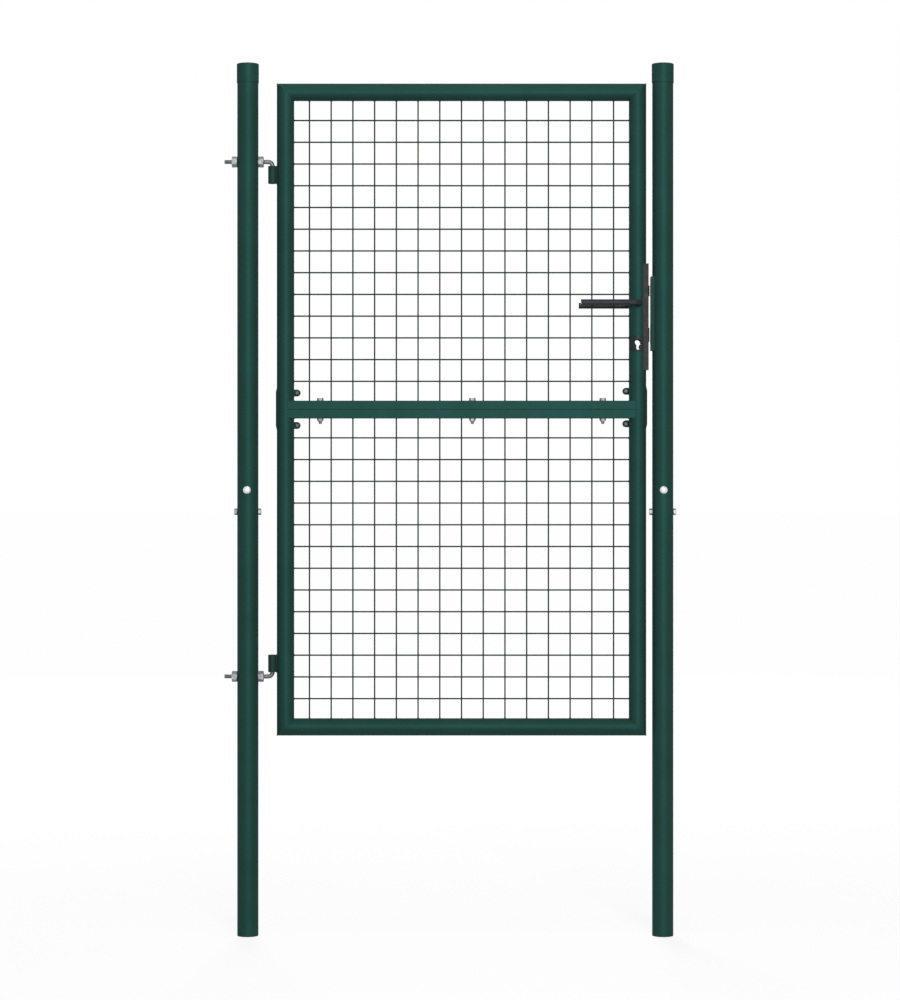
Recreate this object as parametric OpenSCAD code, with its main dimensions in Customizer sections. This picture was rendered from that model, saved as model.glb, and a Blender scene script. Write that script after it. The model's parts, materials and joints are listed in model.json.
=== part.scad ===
// Single-leaf mesh garden gate between two round posts.
// The leaf is two half frames stacked and bolted at mid height, hung on two
// hook bolts and closed by a lever lock.
// Frame: origin at the centre of the hinge post's foot, +X towards the lock
// post, the front faces -Y, +Z up. Millimetres.

/* [Posts] */
// Length of each post tube
post_h = 2000; // [1600:10:2400]
// Outside diameter of the post tube
post_d = 48.6; // [40:0.1:60]
// Wall of the post tube
post_wall = 1.25; // [1:0.05:3]
// Length of the tube that couples the two halves of a post
coupler_len = 120; // [100:5:200]
// Distance of each coupling bolt from the joint of the post
coupler_bolt_step = 25; // [20:1:35]
// Height of the post cap's skirt
cap_skirt = 38; // [20:1:60]
// Thickness of the post cap above the tube
cap_top = 5; // [3:0.5:8]
// Wall of the post cap
cap_wall = 1; // [0.8:0.1:2.5]

/* [Leaf frame] */
// Width of the leaf
leaf_w = 850; // [600:10:1100]
// Height of the leaf
leaf_h = 1500; // [1100:10:1800]
// Height of the leaf above the foot of the posts
leaf_lift = 460; // [300:10:600]
// Gap between the hinge post and the leaf
hinge_gap = 42.4; // [40:0.1:60]
// Gap between the leaf and the lock post
lock_gap = 13.7; // [13:0.1:20]
// Outside diameter of the leaf's tube
tube_d = 40; // [32:1:48]
// Wall of the leaf's tube
tube_wall = 1.25; // [1:0.05:3]
// Setback of the middle rails' faces from the faces of the stiles
rail_setback = 1; // [0:0.5:4]
// Height of one flat middle rail
rail_h = 20; // [15:1:30]
// Wall of the middle rails
rail_wall = 1.2; // [1:0.1:2.5]
// Corner radius of the middle rails
rail_corner = 1; // [0.5:0.5:3]

/* [Mesh] */
// Spacing of the wires
mesh_pitch = 50; // [40:1:100]
// Diameter of the wires
wire_d = 3.6; // [2:0.1:5]
// Depth to which crossing wires are welded into each other
weld_sink = 0.4; // [0.2:0.1:1]

/* [Hinges] */
// Diameter of the hook bolts
hook_d = 10; // [8:0.5:14]
// Bend radius of the hook bolts, on the centre line
hook_bend = 9.5; // [8:0.5:16]
// Length of the threaded end outside the post's centre line
hook_tail = 53.7; // [48:0.1:70]
// Outside diameter of the hinge eyes
eye_d = 20; // [17:0.5:26]
// Length of the hinge eyes
eye_len = 40; // [30:1:60]
// Radial running clearance of a pin in its eye
eye_clearance = 0.06; // [0.03:0.01:0.1]
// Gap between an eye's end and the shoulder of its hook
eye_end_gap = 0.3; // [0.2:0.1:1]
// Width of the weld between an eye and the stile
eye_weld = 8; // [4:1:16]
// Chamfer on the ends of an eye
eye_edge = 0.6; // [0.2:0.1:1]
// Distance of the upper eye's top below the top of the leaf
upper_eye_drop = 190; // [120:5:300]
// Distance of the lower eye's foot above the foot of the leaf
lower_eye_rise = 146; // [100:1:250]
// Width of the hook bolts' nuts across their flats
hook_nut_af = 22; // [17:1:24]
// Thickness of the hook bolts' nuts
hook_nut_t = 10.5; // [7:0.5:12]
// Diameter of the hook bolts' washers
hook_washer_d = 25; // [20:1:30]
// Thickness of the hook bolts' washers
hook_washer_t = 2; // [1.5:0.5:3]

/* [Splices of the stiles] */
// Height of a splice clip
clip_h = 95; // [85:1:120]
// Thickness of a splice clip
clip_t = 2.3; // [1.5:0.1:3]
// Length over which a clip's ends thin out
clip_taper = 9; // [4:1:12]
// Angle that the clip's front lip reaches round from the edge of the stile
clip_lip = 49; // [20:1:70]
// Distance of the lugs from the middle of a clip
lug_step = 37.5; // [34:0.5:45]
// Height of the lugs
lug_h = 16; // [14:1:20]
// Thickness of the lugs
lug_t = 3; // [2:0.5:4]
// Distance that the lugs reach in past the stile
lug_reach = 13.5; // [12:0.5:18]
// Height by which the clip on the hinge side sits above the joint
hinge_clip_up = 1.5; // [0:0.5:6]
// Height by which the clip on the lock side sits above the joint
lock_clip_up = 5.5; // [0:0.5:6]

/* [Bolts] */
// Diameter of the frame and post bolts
bolt_d = 8; // [6:1:10]
// Width of their heads and nuts across the flats
bolt_af = 13; // [10:1:16]
// Thickness of their heads
bolt_head = 5.3; // [4:0.1:7]
// Thickness of their nuts
bolt_nut = 6.5; // [5:0.1:8]
// Diameter of their washers
bolt_washer_d = 16; // [13:1:20]
// Thickness of their washers
bolt_washer_t = 1.6; // [1:0.1:2]
// Thread that shows past the nuts of the posts' front bolts
post_bolt_end = 3; // [1:0.5:8]
// Thread that shows below the nuts of the rail bolts
bolt_thread_end = 5; // [2:0.5:8]
// Distance of the outer rail bolts from the leaf's sides
rail_bolt_inset = 100; // [80:5:160]
// Diameter of the lug bolts
lug_bolt_d = 5; // [4:0.5:6]
// Width of the lug bolts' heads and nuts across the flats
lug_bolt_af = 8; // [7:0.5:10]
// Thickness of the lug bolts' heads and nuts
lug_bolt_head = 3.5; // [3:0.5:5]
// Chamfer on the ends of bolts and pins
end_chamfer = 0.8; // [0.3:0.1:1.2]
// Diameter of the domed heads on the posts
dome_d = 18; // [14:1:20]
// Height of the domed heads on the posts
dome_h = 4.8; // [3:0.1:6]
// Clearance of bolts in their holes, on the diameter
hole_clearance = 0.6; // [0.4:0.1:1]

/* [Lock] */
// Height of the lock housing
lock_h = 244; // [220:1:280]
// Width of the lock housing, front to back
lock_w = 32; // [28:1:36]
// Distance that the lock housing stands out from the stile
lock_proud = 4.6; // [4:0.1:6]
// Thickness of the lock housing's face
lock_face_t = 3; // [2:0.5:3.5]
// Thickness of the lock housing's sides and ends
lock_wall = 2; // [1.5:0.5:3]
// Corner radius of the lock housing
lock_corner = 1.5; // [0.5:0.5:3]
// Height of the middle of the housing above the middle of the leaf
lock_up = 213; // [180:1:300]
// Height of the lever's spindle above the middle of the housing
spindle_up = 30; // [20:1:50]
// Height of the latch above the middle of the housing
latch_up = 60; // [50:1:90]
// Distance of the dead bolt's middle below the middle of the housing
dead_down = 41; // [20:1:45]
// Distance of the keyhole's round end below the middle of the housing
key_down = 59.5; // [59:0.5:90]
// Diameter of the keyhole's round end
key_d = 14.5; // [8:0.1:15]
// Width of the keyhole's slot
key_slot = 8; // [4:0.5:10]
// Length of the whole keyhole
key_len = 24.4; // [16:0.1:28]
// Thickness of the latch and the dead bolt
tongue_t = 10; // [8:1:12]
// Height of the latch
latch_h = 24; // [18:1:26]
// Height of the dead bolt
dead_h = 32; // [26:1:34]
// Height of the dead bolt's tail, inside the lock
dead_tail_h = 26; // [18:1:26]
// Distance that the dead bolt travels
dead_throw = 12; // [6:1:12]
// Distance that the latch stands out of the housing
latch_nose = 3; // [2:0.5:3.5]
// Distance that the drawn-back dead bolt stands out of the housing
dead_nose = 2.5; // [1:0.5:3]
// Height of the plates round the keyhole
plate_h = 35; // [28:1:45]
// Height of the plate below the keyhole
plate_rim = 2; // [1:0.5:5]
// Thickness of the plates round the keyhole
plate_t = 1.5; // [1:0.5:3]
// Angle that the keyhole plates reach round from the edge of the leaf
plate_reach = 147; // [120:1:160]
// Clearance of the latch and the dead bolt in their slots
tongue_clearance = 0.3; // [0.2:0.1:0.5]
// Running clearance of the latch and the dead bolt inside the lock
tongue_room = 1; // [0.8:0.1:2]
// Length of the latch and the dead bolt behind the housing's face
tongue_tail = 22; // [20:1:26]

/* [Lever handle] */
// Length of the levers from the spindle to their tip
lever_len = 133; // [100:1:160]
// Distance of the levers' middle from the middle of the leaf
lever_out = 55; // [45:1:70]
// Height of a lever's section
lever_h = 13; // [10:1:18]
// Depth of a lever's section
lever_t = 14; // [8:1:16]
// Corner radius of a lever's section
lever_corner = 4; // [2:0.5:4]
// Bend radius of a lever, on the centre line
lever_bend = 10; // [8:1:14]
// Length of the round collar at the foot of a lever
collar_len = 6; // [4:1:8]
// Width of the square spindle
spindle_w = 8; // [6:0.5:8]
// Gap between a lever's collar and the stile
collar_gap = 0.4; // [0.3:0.1:0.8]
// Clearance round the turning spindle
spindle_clearance = 0.35; // [0.2:0.05:0.6]

/* [Strike plate] */
// Height of the strike plate
strike_h = 170; // [160:1:210]
// Height of the middle of the strike plate above the middle of the housing
strike_up = 7.5; // [0:0.5:12]
// Width of the strike plate, front to back
strike_w = 27; // [22:1:30]
// Distance that the strike plate stands out from the post
strike_proud = 3.9; // [3.5:0.1:5]
// Thickness of the strike plate
strike_t = 2.5; // [1.5:0.5:3]
// Clearance round the latch and the dead bolt in the strike plate
strike_room = 1.5; // [1:0.5:2]
// Extra height of the slots in the strike plate, above and below
strike_slack = 3; // [2:0.5:5]

/* [Hidden] */
$fn = 64;

// How far a cut or a shank runs past the piece that it cuts or joins
past = 1;

// Posts
post_r = post_d / 2;
post_mid = post_h / 2;
cap_fit = 0.05;
cap_edge = 0.8;
cap_ring = 3;
coupler_fit = 0.1;
coupler_wall = 1.5;
coupler_r = post_r - post_wall - coupler_fit;

// Leaf: outer box and centre lines
tube_r = tube_d / 2;
leaf_x0 = post_r + hinge_gap;
leaf_x1 = leaf_x0 + leaf_w;
leaf_z0 = leaf_lift;
leaf_z1 = leaf_lift + leaf_h;
leaf_xm = (leaf_x0 + leaf_x1) / 2;
leaf_zm = (leaf_z0 + leaf_z1) / 2;
hinge_stile_x = leaf_x0 + tube_r;
lock_stile_x = leaf_x1 - tube_r;
lock_post_x = leaf_x1 + lock_gap + post_r;

// Hinges
hook_r = hook_d / 2;
eye_x = leaf_x0 - eye_d / 2;
pin_end_gap = 2;
upper_eye_z = leaf_z1 - upper_eye_drop - eye_len;
lower_eye_z = leaf_z0 + lower_eye_rise;
upper_hook_z = upper_eye_z + eye_len + eye_end_gap + hook_bend;
lower_hook_z = lower_eye_z - eye_end_gap - hook_bend;
hook_zs = [upper_hook_z, lower_hook_z];
nut_seat = post_r + hook_washer_t;
thread_fit = 0.1;
hex_margin = 0.1;

// Mesh
wire_sides = 8;

// Splices
lug_back = tube_r;
lug_bolt_end = 1;
lug_centre = tube_r + lug_reach - lug_h / 2;
lug_xs = [hinge_stile_x + lug_centre, lock_stile_x - lug_centre];
clip_edge = 0.4;

// Middle rails
rail_depth = tube_d - 2 * rail_setback;
rail_bolt_xs = [
    mesh_gap_x(leaf_x0 + rail_bolt_inset),
    mesh_gap_x(leaf_xm + mesh_pitch / 2),
    mesh_gap_x(leaf_x1 - rail_bolt_inset)
];

// Lock
lock_zm = leaf_zm + lock_up;
face_x1 = leaf_x1 + lock_proud;
face_x0 = face_x1 - lock_face_t;
spindle_z = lock_zm + spindle_up;
latch_z = lock_zm + latch_up;
dead_z = lock_zm - dead_down;
key_z = lock_zm - key_down;
spindle_r = spindle_w / sqrt(2);
collar_r = lever_t / 2;
spindle_reach = lever_out - lever_bend - 1;

// Strike plate
strike_x0 = lock_post_x - post_r - strike_proud;
strike_zm = lock_zm + strike_up;

green = "#27544c";
black = "#3b3a3d";
zinc = "#c3c6c8";

// ---- shapes that several pieces share ----

module tube_z(r, wall, z0, z1) {
    translate([0, 0, z0]) difference() {
        cylinder(r = r, h = z1 - z0);
        translate([0, 0, -past]) cylinder(r = r - wall, h = z1 - z0 + 2 * past);
    }
}

// A drilling along Y through (x, z)
module bore_y(x, z, r, y0, y1) {
    translate([x, y1, z]) rotate([90, 0, 0]) cylinder(r = r, h = y1 - y0);
}

// A drilling along X through height z
module bore_x(z, r, x0, x1) {
    translate([x0, 0, z]) rotate([0, 90, 0]) cylinder(r = r, h = x1 - x0);
}

// A block given by its two corners
module block(low, high) {
    translate(low) cube(high - low);
}

// Outline in the leaf's plane, as deep as needed
module leaf_prism(points, depth) {
    translate([0, depth / 2, 0]) rotate([90, 0, 0]) linear_extrude(depth) polygon(points);
}

// Hexagon with its top corners turned off, and its foot corners too on a nut
module hexagon_z(af, h, foot_too) {
    wide = af / cos(30) / 2 + hex_margin;
    drop = (wide - af / 2) / 2;
    foot = foot_too ? drop : 0;
    intersection() {
        cylinder(d = af / cos(30), h = h, $fn = 6);
        rotate_extrude() polygon([
            [0, 0], [af / 2 - foot, 0], [wide, foot], [wide, h - drop],
            [af / 2 - drop, h], [0, h]
        ]);
    }
}

// Hexagon bolt along +Z: the head's seat is at z = 0 and the shank runs down
module hex_bolt(d, af, head, shank) {
    hexagon_z(af, head, false);
    shank_z(d, shank);
}

// Carriage bolt along +Z with a domed head
module domed_bolt(d, shank) {
    dome_r = (pow(dome_d / 2, 2) + pow(dome_h, 2)) / (2 * dome_h);
    intersection() {
        translate([0, 0, dome_h - dome_r]) sphere(r = dome_r);
        cylinder(d = dome_d * 2, h = dome_h);
    }
    shank_z(d, shank);
}

// Shank from z = 0 down, its end turned down a little
module shank_z(d, shank) {
    top = shank + past;
    translate([0, 0, -shank]) rotate_extrude() polygon([
        [0, 0], [d / 2 - end_chamfer, 0], [d / 2, end_chamfer], [d / 2, top], [0, top]
    ]);
}

module hex_nut(d, af, t) {
    difference() {
        hexagon_z(af, t, true);
        translate([0, 0, -past]) cylinder(r = d / 2 + thread_fit, h = t + 2 * past);
    }
}

module washer(d, outer, t) {
    difference() {
        cylinder(d = outer, h = t);
        translate([0, 0, -past]) cylinder(r = d / 2 + thread_fit, h = t + 2 * past);
    }
}

// Rectangle with round corners, centred
module rounded_rectangle(w, h, r) {
    square([w - 2 * r, h], center = true);
    square([w, h - 2 * r], center = true);
    for (x = [-1, 1], y = [-1, 1])
        translate([x * (w / 2 - r), y * (h / 2 - r)]) circle(r = r);
}

// ---- posts ----

function coupler_bolt_y_z() = post_mid + coupler_bolt_step;
function coupler_bolt_x_z() = post_mid - coupler_bolt_step;

module coupling_bores(x) {
    r = (bolt_d + hole_clearance) / 2;
    reach = post_r + past;
    bore_y(x, coupler_bolt_y_z(), r, -reach, reach);
    bore_x(coupler_bolt_x_z(), r, x - reach, x + reach);
}

module post_half(x, z0, z1) {
    color(green) difference() {
        translate([x, 0, 0]) tube_z(post_r, post_wall, z0, z1);
        coupling_bores(x);
        if (x == 0)
            for (z = hook_zs)
                bore_x(z, (hook_d + hole_clearance) / 2, -post_r - past, post_r + past);
    }
}

module post_coupler(x) {
    color(green) difference() {
        translate([x, 0, 0]) tube_z(
            coupler_r, coupler_wall, post_mid - coupler_len / 2, post_mid + coupler_len / 2
        );
        coupling_bores(x);
    }
}

module post_cap(x) {
    inner = post_r + cap_fit;
    outer = inner + cap_wall;
    edge = min(cap_edge, cap_wall);
    roof = cap_top / 2;
    bore = inner - cap_ring;
    color(green) translate([x, 0, post_h]) rotate_extrude() polygon([
        [0, roof], [bore, roof], [bore, 0], [inner, 0], [inner, -cap_skirt],
        [outer, -cap_skirt], [outer, cap_top - edge], [outer - edge, cap_top], [0, cap_top]
    ]);
}

// Puts children that point up on the front bolt of a post
module on_front_bolt(x, out) {
    translate([x, -out, coupler_bolt_y_z()]) rotate([90, 0, 0]) children();
}

// Puts children that point up on the side bolt of a post
module on_side_bolt(x, out) {
    translate([x - out, 0, coupler_bolt_x_z()]) rotate([0, -90, 0]) children();
}

module post_bolts(x) {
    color(zinc) {
        on_front_bolt(x, post_r) domed_bolt(bolt_d, post_d + bolt_nut + post_bolt_end);
        on_side_bolt(x, post_r + bolt_washer_t)
            hex_bolt(bolt_d, bolt_af, bolt_head, post_d + bolt_washer_t + bolt_nut);
    }
}

module post_bolt_nuts() {
    color(zinc) for (x = [0, lock_post_x]) {
        on_front_bolt(x, -post_r - bolt_nut) hex_nut(bolt_d, bolt_af, bolt_nut);
        on_side_bolt(x, -post_r - bolt_nut) hex_nut(bolt_d, bolt_af, bolt_nut);
    }
}

module post_bolt_washers() {
    color(zinc) for (x = [0, lock_post_x])
        on_side_bolt(x, post_r) washer(bolt_d, bolt_washer_d, bolt_washer_t);
}

module lock_post_upper() {
    color(green) difference() {
        post_half(lock_post_x, post_mid, post_h);
        strike_slots(strike_x0, lock_post_x);
    }
}

// Slots that take the latch and the dead bolt
module strike_slots(x0, x1) {
    half_w = tongue_t / 2 + strike_room;
    for (s = [[latch_z, latch_h], [dead_z, dead_h]])
        block(
            [x0 - past, -half_w, s[0] - s[1] / 2 - strike_slack],
            [x1, half_w, s[0] + s[1] / 2 + strike_slack]
        );
}

module strike_plate() {
    z0 = strike_zm - strike_h / 2;
    z1 = strike_zm + strike_h / 2;
    inner_w = strike_w - 2 * strike_t;
    color(green) difference() {
        block([strike_x0, -strike_w / 2, z0], [lock_post_x - post_r / 2, strike_w / 2, z1]);
        block(
            [strike_x0 + strike_t, -inner_w / 2, z0 - past],
            [lock_post_x, inner_w / 2, z1 + past]
        );
        translate([lock_post_x, 0, z0 - past]) cylinder(r = post_r, h = strike_h + 2 * past);
        strike_slots(strike_x0, strike_x0 + strike_t + past);
    }
}

// ---- hinges ----

// Hook bolt in the leaf's plane; up = 1 turns the pin up, -1 down
module hinge_hook(z, up) {
    pin = eye_end_gap + eye_len - pin_end_gap;
    bend_x = eye_x - hook_bend;
    color(zinc) translate([0, 0, z]) {
        translate([bend_x - past, 0, 0]) rotate([0, 90, 0]) shank_z(hook_d, hook_tail + bend_x - past);
        translate([bend_x, 0, up * hook_bend])
            rotate([-90 * up, 0, 0])
                rotate_extrude(angle = 90) translate([hook_bend, 0]) circle(r = hook_r);
        translate([eye_x, 0, up * (hook_bend + past)]) mirror([0, 0, up > 0 ? 1 : 0])
            shank_z(hook_d, pin - past);
    }
}

module hook_nuts() {
    color(zinc) for (z = hook_zs, x = [nut_seat, -nut_seat - hook_nut_t])
        translate([x, 0, z]) rotate([0, 90, 0]) hex_nut(hook_d, hook_nut_af, hook_nut_t);
}

module hook_washers() {
    color(zinc) for (z = hook_zs, x = [post_r, -nut_seat])
        translate([x, 0, z]) rotate([0, 90, 0]) washer(hook_d, hook_washer_d, hook_washer_t);
}

module hinge_eye(z) {
    color(green) translate([0, 0, z]) difference() {
        union() {
            translate([eye_x, 0, 0]) rotate_extrude() polygon([
                [0, 0], [eye_d / 2 - eye_edge, 0], [eye_d / 2, eye_edge],
                [eye_d / 2, eye_len - eye_edge], [eye_d / 2 - eye_edge, eye_len], [0, eye_len]
            ]);
            block([eye_x, -eye_weld / 2, 0], [hinge_stile_x, eye_weld / 2, eye_len]);
        }
        translate([eye_x, 0, -past]) cylinder(r = hook_r + eye_clearance, h = eye_len + 2 * past);
        translate([hinge_stile_x, 0, -past]) cylinder(r = tube_r, h = eye_len + 2 * past);
    }
}

// ---- leaf frame ----

module stile_tube(x) {
    translate([x, 0, 0]) tube_z(tube_r, tube_wall, leaf_z0, leaf_z1);
}

// Half stile: side = -1 at the hinges, 1 at the lock; up = 1 upper, -1 lower
module half_stile(side, up) {
    outer = side < 0 ? leaf_x0 : leaf_x1;
    inner = outer - side * tube_d;
    end = up > 0 ? leaf_z1 : leaf_z0;
    intersection() {
        stile_tube(outer - side * tube_r);
        leaf_prism(
            [[outer, leaf_zm], [outer, end], [inner, end - up * tube_d], [inner, leaf_zm]],
            tube_d + 2 * past
        );
    }
}

// Top and bottom rail, mitred at 45 degrees
module end_rail(up) {
    edge = up > 0 ? leaf_z1 : leaf_z0;
    inner = edge - up * tube_d;
    color(green) intersection() {
        translate([leaf_x0, 0, edge - up * tube_r]) rotate([0, 90, 0])
            tube_z(tube_r, tube_wall, 0, leaf_w);
        leaf_prism(
            [
                [leaf_x0, edge], [leaf_x1, edge],
                [leaf_x1 - tube_d, inner], [leaf_x0 + tube_d, inner]
            ],
            tube_d + 2 * past
        );
    }
}

module upper_lock_stile() {
    tongue_y = tongue_t / 2 + tongue_room;
    color(green) difference() {
        half_stile(1, 1);
        bore_y(lock_stile_x, spindle_z, spindle_r + spindle_clearance, -tube_d, tube_d);
        keyhole();
        for (s = [[latch_z, latch_h], [dead_z, dead_h]])
            block(
                [lock_stile_x, -tongue_y, s[0] - s[1] / 2 - tongue_room],
                [leaf_x1 + past, tongue_y, s[0] + s[1] / 2 + tongue_room]
            );
    }
}

module keyhole() {
    foot = key_z + key_d / 2 - key_len;
    bore_y(lock_stile_x, key_z, key_d / 2, -tube_d, tube_d);
    bore_y(lock_stile_x, foot + key_slot / 2, key_slot / 2, -tube_d, tube_d);
    block(
        [lock_stile_x - key_slot / 2, -tube_d, foot + key_slot / 2],
        [lock_stile_x + key_slot / 2, tube_d, key_z]
    );
}

// Upright bore through both middle rails
module rail_bore(x, d) {
    translate([x, 0, leaf_zm - rail_h - past]) cylinder(d = d, h = 2 * (rail_h + past));
}

// Flat rail of one half frame, fitted to the round stiles
module middle_rail(up) {
    color(green) difference() {
        translate([hinge_stile_x, 0, leaf_zm + up * rail_h / 2]) rotate([90, 0, 90])
            linear_extrude(lock_stile_x - hinge_stile_x) difference() {
                rounded_rectangle(rail_depth, rail_h, rail_corner);
                square([rail_depth - 2 * rail_wall, rail_h - 2 * rail_wall], center = true);
            }
        for (x = [hinge_stile_x, lock_stile_x]) rail_bore(x, tube_d);
        for (x = rail_bolt_xs) rail_bore(x, bolt_d + hole_clearance);
    }
}

module rail_bolts() {
    shank = 2 * bolt_washer_t + 2 * rail_h + bolt_nut + bolt_thread_end;
    color(zinc) for (x = rail_bolt_xs)
        translate([x, 0, leaf_zm + rail_h + bolt_washer_t]) rotate([0, 0, 30])
            hex_bolt(bolt_d, bolt_af, bolt_head, shank);
}

module rail_nuts() {
    color(zinc) for (x = rail_bolt_xs)
        translate([x, 0, leaf_zm - rail_h - bolt_washer_t - bolt_nut]) rotate([0, 0, 30])
            hex_nut(bolt_d, bolt_af, bolt_nut);
}

module rail_washers() {
    color(zinc) for (x = rail_bolt_xs, z = [leaf_zm + rail_h, leaf_zm - rail_h - bolt_washer_t])
        translate([x, 0, z]) washer(bolt_d, bolt_washer_d, bolt_washer_t);
}

// ---- mesh ----

// Wires are spread evenly about the middle of the space that they fill
function wire_places(low, high) =
    let (n = floor((high - low) / mesh_pitch), mid = (low + high) / 2)
    [for (i = [0 : n - 1]) mid + (i - (n - 1) / 2) * mesh_pitch];

// Middle of the gap between the two upright wires on either side of x
function mesh_gap_x(x) =
    let (first = wire_places(leaf_x0 + tube_d, leaf_x1 - tube_d)[0])
    first + (floor((x - first) / mesh_pitch) + 0.5) * mesh_pitch;

module wire(length) {
    rotate([0, 0, 180 / wire_sides]) cylinder(d = wire_d, h = length, $fn = wire_sides);
}

// Welded mesh between heights z0 and z1
module mesh_panel(z0, z1) {
    x0 = leaf_x0 + tube_d;
    x1 = leaf_x1 - tube_d;
    offset_y = (wire_d * cos(180 / wire_sides) - weld_sink) / 2;
    color(green) union() {
        for (x = wire_places(x0, x1))
            translate([x, offset_y, z0]) wire(z1 - z0);
        for (z = wire_places(z0, z1))
            translate([x0, -offset_y, z]) rotate([0, 90, 0]) wire(x1 - x0);
    }
}

// ---- splices of the stiles ----

// Places a shape drawn for the hinge stile, with +X towards the leaf's middle
module on_stile(side) {
    if (side < 0)
        translate([hinge_stile_x, 0, leaf_zm + hinge_clip_up]) children();
    else
        translate([lock_stile_x, 0, leaf_zm + lock_clip_up]) mirror([1, 0, 0]) children();
}

// Flat arm along X with a round end, from the back of the stile to a lug's end
module lug_arm(y0, y1) {
    translate([0, y1, 0]) rotate([90, 0, 0]) linear_extrude(y1 - y0) {
        translate([0, -lug_h / 2]) square([lug_centre, lug_h]);
        translate([lug_centre, 0]) circle(d = lug_h);
    }
}

module lug_bore(y0, y1) {
    bore_y(lug_centre, 0, (lug_bolt_d + hole_clearance) / 2, y0 - past, y1 + past);
}

module splice_clip(side) {
    color(green) on_stile(side) {
        rotate([0, 0, 90]) rotate_extrude(angle = 90 + clip_lip) polygon([
            [tube_r, -clip_h / 2], [tube_r + clip_edge, -clip_h / 2],
            [tube_r + clip_t, clip_taper - clip_h / 2],
            [tube_r + clip_t, clip_h / 2 - clip_taper],
            [tube_r + clip_edge, clip_h / 2], [tube_r, clip_h / 2]
        ]);
        for (z = [-lug_step, lug_step])
            translate([0, 0, z]) difference() {
                lug_arm(lug_back, lug_back + clip_t);
                lug_bore(lug_back, lug_back + clip_t);
            }
    }
}

module splice_lugs() {
    color(green) for (side = [-1, 1]) on_stile(side)
        for (z = [-lug_step, lug_step])
            translate([0, 0, z]) difference() {
                lug_arm(lug_back - lug_t, lug_back);
                lug_bore(lug_back - lug_t, lug_back);
                translate([0, 0, -lug_h]) cylinder(r = tube_r, h = 2 * lug_h);
            }
}

// Puts children that point up at each lug, pointing to the front
module at_lugs(y) {
    for (side = [-1, 1]) on_stile(side)
        for (z = [-lug_step, lug_step])
            translate([lug_centre, y, z]) rotate([90, 0, 0]) children();
}

module splice_bolts() {
    color(zinc) at_lugs(lug_back - lug_t)
        hex_bolt(
            lug_bolt_d, lug_bolt_af, lug_bolt_head, lug_t + clip_t + lug_bolt_head + lug_bolt_end
        );
}

module splice_nuts() {
    color(zinc) at_lugs(lug_back + clip_t + lug_bolt_head)
        hex_nut(lug_bolt_d, lug_bolt_af, lug_bolt_head);
}

// ---- lock ----

module tongue_slots() {
    half_w = tongue_t / 2 + tongue_clearance;
    for (s = [[latch_z, latch_h], [dead_z, dead_h]])
        block(
            [face_x0 - past, -half_w, s[0] - s[1] / 2 - tongue_clearance],
            [face_x1 + past, half_w, s[0] + s[1] / 2 + tongue_clearance]
        );
}

module lock_housing() {
    z0 = lock_zm - lock_h / 2;
    z1 = lock_zm + lock_h / 2;
    inner_w = lock_w - 2 * lock_wall;
    color(black) difference() {
        translate([(lock_stile_x + face_x1) / 2, 0, z0]) linear_extrude(lock_h)
            rounded_rectangle(face_x1 - lock_stile_x, lock_w, lock_corner);
        block(
            [lock_stile_x - past, -inner_w / 2, z0 + lock_wall],
            [face_x0, inner_w / 2, z1 - lock_wall]
        );
        translate([lock_stile_x, 0, z0 - past]) cylinder(r = tube_r, h = lock_h + 2 * past);
        tongue_slots();
    }
}

// Latch with a bevelled nose; it is carried by the slot in the housing's face
module latch_bolt() {
    x0 = face_x0 - tongue_tail;
    x1 = face_x1 + latch_nose;
    y = tongue_t / 2;
    color(black) translate([0, 0, latch_z - latch_h / 2]) linear_extrude(latch_h) polygon([
        [x0, -y], [face_x1, -y], [x1, -y + latch_nose], [x1, y], [x0, y]
    ]);
}

// Dead bolt, drawn back; its low tail passes over the keyhole
module dead_bolt() {
    top = dead_z + dead_h / 2;
    shoulder = face_x0 - dead_throw;
    color(black) leaf_prism(
        [
            [face_x0 - tongue_tail, top], [face_x1 + dead_nose, top],
            [face_x1 + dead_nose, top - dead_h], [shoulder, top - dead_h],
            [shoulder, top - dead_tail_h], [face_x0 - tongue_tail, top - dead_tail_h]
        ],
        tongue_t
    );
}

// Curved plate round the keyhole, side = -1 front, 1 back
module escutcheon(side) {
    start = asin(lock_w / tube_d);
    foot = key_z + key_d / 2 - key_len - plate_rim;
    color(black) difference() {
        translate([lock_stile_x, 0, foot]) mirror([0, side < 0 ? 1 : 0, 0])
            rotate([0, 0, start]) rotate_extrude(angle = plate_reach - start)
                translate([tube_r, 0]) square([plate_t, plate_h]);
        keyhole();
    }
}

// Lever on the side of the leaf that faces y = side
module lever(side) {
    foot = tube_r + collar_gap;
    color(black) translate([lock_stile_x, 0, spindle_z]) mirror([0, side < 0 ? 1 : 0, 0])
        difference() {
            union() {
                translate([0, foot, 0]) rotate([-90, 0, 0]) cylinder(r = collar_r, h = collar_len);
                translate([0, foot, 0]) rotate([-90, 0, 0])
                    linear_extrude(lever_out - lever_bend - foot)
                        rounded_rectangle(lever_t, lever_h, lever_corner);
                translate([-lever_bend, lever_out - lever_bend, 0])
                    rotate_extrude(angle = 90) translate([lever_bend, 0])
                        rounded_rectangle(lever_t, lever_h, lever_corner);
                translate([-lever_len, lever_out, 0]) rotate([90, 0, 90])
                    linear_extrude(lever_len - lever_bend)
                        rounded_rectangle(lever_t, lever_h, lever_corner);
            }
            block([-spindle_w / 2, 0, -spindle_w / 2], [spindle_w / 2, spindle_reach, spindle_w / 2]);
        }
}

module spindle() {
    half_w = spindle_w / 2;
    color(zinc) translate([lock_stile_x, 0, spindle_z])
        block([-half_w, -spindle_reach, -half_w], [half_w, spindle_reach, half_w]);
}

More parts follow.
